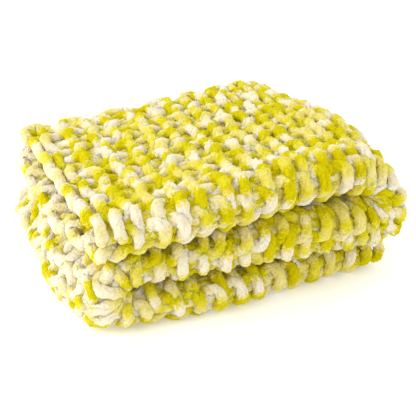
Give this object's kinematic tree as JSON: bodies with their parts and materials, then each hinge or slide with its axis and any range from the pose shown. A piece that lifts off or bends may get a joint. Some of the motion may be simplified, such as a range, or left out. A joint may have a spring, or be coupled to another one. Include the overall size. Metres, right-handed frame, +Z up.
{
  "type": "chunky knit blanket",
  "caption": "Thick hand-knit throw in plush yarn, folded in half and then back and forth into a neat stack that lies flat.",
  "frame": {"origin": "middle of the stack's footprint, on the surface it lies on", "axes": "+X along the rounded front folds towards the closed turn of the upper two thirds, +Y from the front folds to the open back edges, +Z up"},
  "size_m": [0.518, 0.4504, 0.217],
  "materials": {
    "plush_yarn": "matt plush"
  },
  "bodies": {
    "root": {"blanket": "plush_yarn"}
  },
  "joints": []
}
